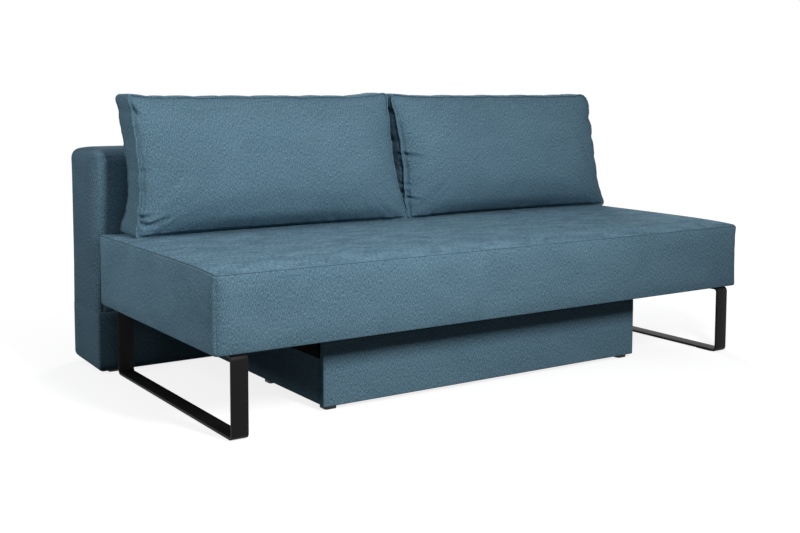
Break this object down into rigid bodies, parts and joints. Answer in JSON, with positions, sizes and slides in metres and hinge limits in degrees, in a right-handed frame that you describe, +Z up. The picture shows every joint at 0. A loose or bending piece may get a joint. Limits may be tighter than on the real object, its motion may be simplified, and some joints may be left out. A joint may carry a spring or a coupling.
{
  "type": "fold-down sofa bed",
  "caption": "Armless fold-down sofa bed: seat on flat-bar sled legs slides forward, upholstered back folds flat on a base with a linen box, loose boxed cushions.",
  "frame": {"origin": "on the floor under the middle of the sofa's overall box", "axes": "+X along the seat to the sitter's left, +Y to the rear, +Z up"},
  "size_m": [2, 1.125, 0.9015],
  "materials": {
    "upholstery": "matte",
    "foam": "matte",
    "fibre_fill": "matte",
    "dust_cloth": "matte",
    "webbing": "matte",
    "chipboard": "matte",
    "timber": "matte",
    "beech_slat": "satin",
    "black_steel": "satin",
    "mechanism_steel": "satin",
    "zinc_steel": "satin",
    "black_plastic": "matte",
    "nylon": "satin"
  },
  "bodies": {
    "base": {"box_front_board": "chipboard", "box_front_fabric": "upholstery", "box_side_left": "chipboard", "box_side_right": "chipboard", "box_side_fabric_left": "upholstery", "box_side_fabric_right": "upholstery", "box_floor": "chipboard", "box_feet": "black_plastic", "base_front_board": "chipboard", "base_rear_board": "chipboard", "base_end_boards": "chipboard", "base_ribs": "chipboard", "base_cover": "upholstery", "base_feet": "black_plastic", "runner_left": "mechanism_steel", "runner_right": "mechanism_steel", "arm_bracket_left": "mechanism_steel", "arm_bracket_right": "mechanism_steel", "arm_pins": "zinc_steel", "bracket_screws": "zinc_steel"},
    "seat": {"seat_front_rail": "timber", "seat_rear_rail": "timber", "seat_end_rails": "timber", "seat_cross_rails": "timber", "seat_slats": "beech_slat", "seat_foam": "foam", "seat_cover": "upholstery", "seat_dust_cloth": "dust_cloth", "sled_leg_left": "black_steel", "sled_leg_right": "black_steel", "floor_glides": "black_plastic", "leg_bolts": "zinc_steel", "seat_slider_left": "nylon", "seat_slider_right": "nylon"},
    "lift_arms": {"lift_arm_left": "mechanism_steel", "lift_arm_right": "mechanism_steel", "arm_bushes": "nylon"},
    "back": {"back_top_rail": "timber", "back_bottom_rails": "timber", "back_posts": "timber", "back_panel": "chipboard", "back_webbing": "webbing", "back_foam": "foam", "back_cover": "upholstery", "hinge_plates": "mechanism_steel", "hinge_pins": "zinc_steel"},
    "cushion_left": {"cushion_left_cover": "upholstery", "cushion_left_fill": "fibre_fill"},
    "cushion_right": {"cushion_right_cover": "upholstery", "cushion_right_fill": "fibre_fill"}
  },
  "joints": [
    {"name": "seat_slide", "type": "slide", "parent": "base", "child": "seat", "axis": [0, -1, 0], "range_m": [0, 0.3]},
    {"name": "arm_lift", "type": "hinge", "parent": "base", "child": "lift_arms", "pos_m": [0, 0.25459, 0.14203], "axis": [1, 0, 0], "range_deg": [0, 106.83]},
    {"name": "back_fold", "type": "hinge", "parent": "lift_arms", "child": "back", "pos_m": [0, 0.4575, 0.25], "axis": [-1, 0, 0], "range_deg": [0, 196.83]},
    {"name": "cushion_left_lift", "type": "slide", "parent": "seat", "child": "cushion_left", "axis": [0, 0, 1], "range_m": [0, 0.5]},
    {"name": "cushion_right_lift", "type": "slide", "parent": "seat", "child": "cushion_right", "axis": [0, 0, 1], "range_m": [0, 0.5]}
  ],
  "couplings": [
    {"joint": "arm_lift", "follows": "seat_slide", "rad_per_m": 6.2149},
    {"joint": "back_fold", "follows": "seat_slide", "rad_per_m": 11.451}
  ]
}
